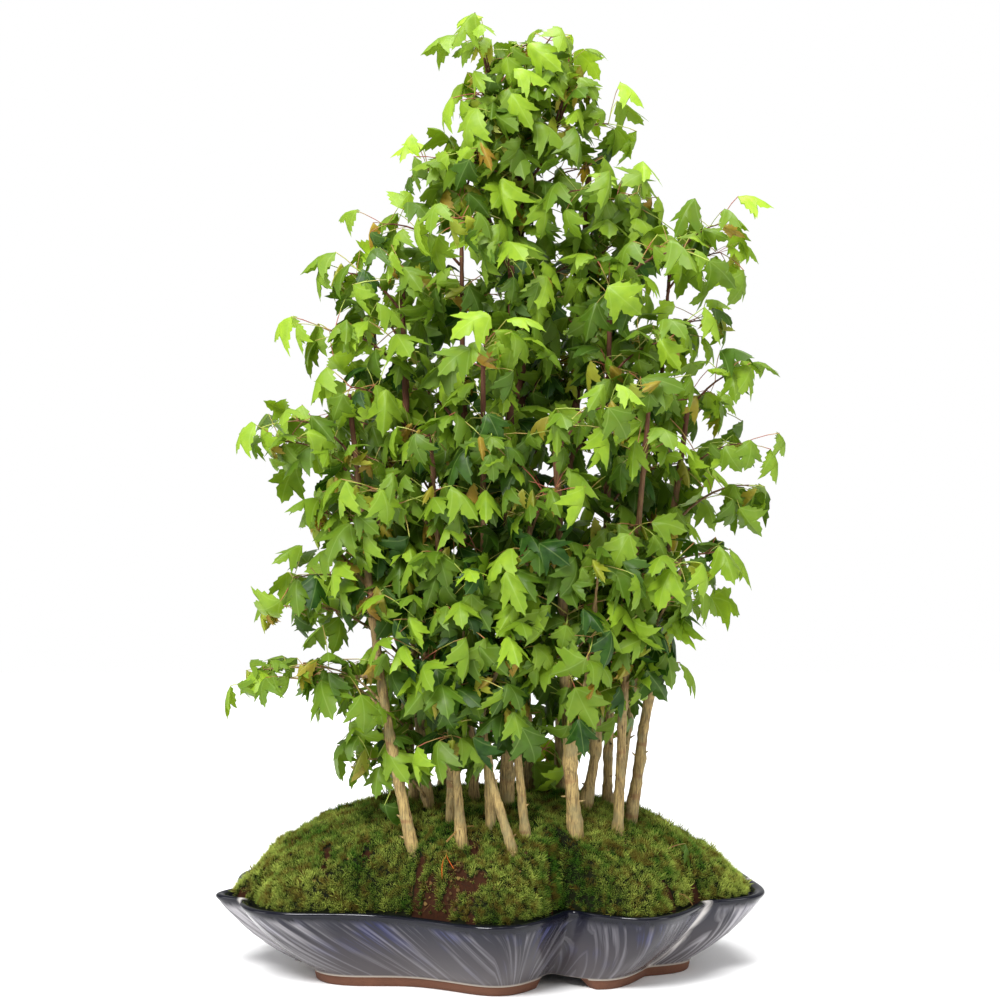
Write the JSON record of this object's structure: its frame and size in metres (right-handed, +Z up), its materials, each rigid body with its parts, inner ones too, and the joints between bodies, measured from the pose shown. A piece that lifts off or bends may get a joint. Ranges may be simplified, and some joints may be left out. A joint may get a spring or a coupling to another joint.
{
  "type": "bonsai forest planting in a pot",
  "caption": "Forest-style trident maple bonsai: slender trunks with leafy crowns on a mossy soil mound in a shallow scalloped glazed tray on clay feet.",
  "frame": {"origin": "centre of the whole plant's bounding box, on the plane that the tray's feet stand on", "axes": "+Z up, +X to the right of the tray's front with its deep crease, +Y away from that front"},
  "size_m": [0.411, 0.304, 0.6881],
  "materials": {
    "glazed_pot": "gloss",
    "drain_mesh": "matte",
    "clip_wire": "satin",
    "gravel": "matte",
    "soil": "matte",
    "moss": "matte",
    "bark": "matte",
    "leaf": "satin"
  },
  "bodies": {
    "root": {"drain_mesh_left": "drain_mesh", "drain_mesh_right": "drain_mesh", "drainage_gravel": "gravel", "foliage_01": "leaf", "foliage_02": "leaf", "foliage_03": "leaf", "foliage_04": "leaf", "foliage_05": "leaf", "foliage_06": "leaf", "foliage_07": "leaf", "foliage_08": "leaf", "foliage_09": "leaf", "foliage_10": "leaf", "foliage_11": "leaf", "foliage_12": "leaf", "foliage_13": "leaf", "foliage_14": "leaf", "foliage_15": "leaf", "foliage_16": "leaf", "foliage_17": "leaf", "foliage_18": "leaf", "foliage_19": "leaf", "foliage_20": "leaf", "foliage_21": "leaf", "foliage_22": "leaf", "foliage_23": "leaf", "foliage_24": "leaf", "foliage_25": "leaf", "foliage_26": "leaf", "foliage_27": "leaf", "foliage_28": "leaf", "foliage_29": "leaf", "foliage_30": "leaf", "foliage_31": "leaf", "foliage_32": "leaf", "mesh_clip_left": "clip_wire", "mesh_clip_right": "clip_wire", "moss_cover": "moss", "pot": "glazed_pot", "soil_mound": "soil", "tree_01": "bark", "tree_02": "bark", "tree_03": "bark", "tree_04": "bark", "tree_05": "bark", "tree_06": "bark", "tree_07": "bark", "tree_08": "bark", "tree_09": "bark", "tree_10": "bark", "tree_11": "bark", "tree_12": "bark", "tree_13": "bark", "tree_14": "bark", "tree_15": "bark", "tree_16": "bark", "tree_17": "bark", "tree_18": "bark", "tree_19": "bark"}
  },
  "joints": []
}
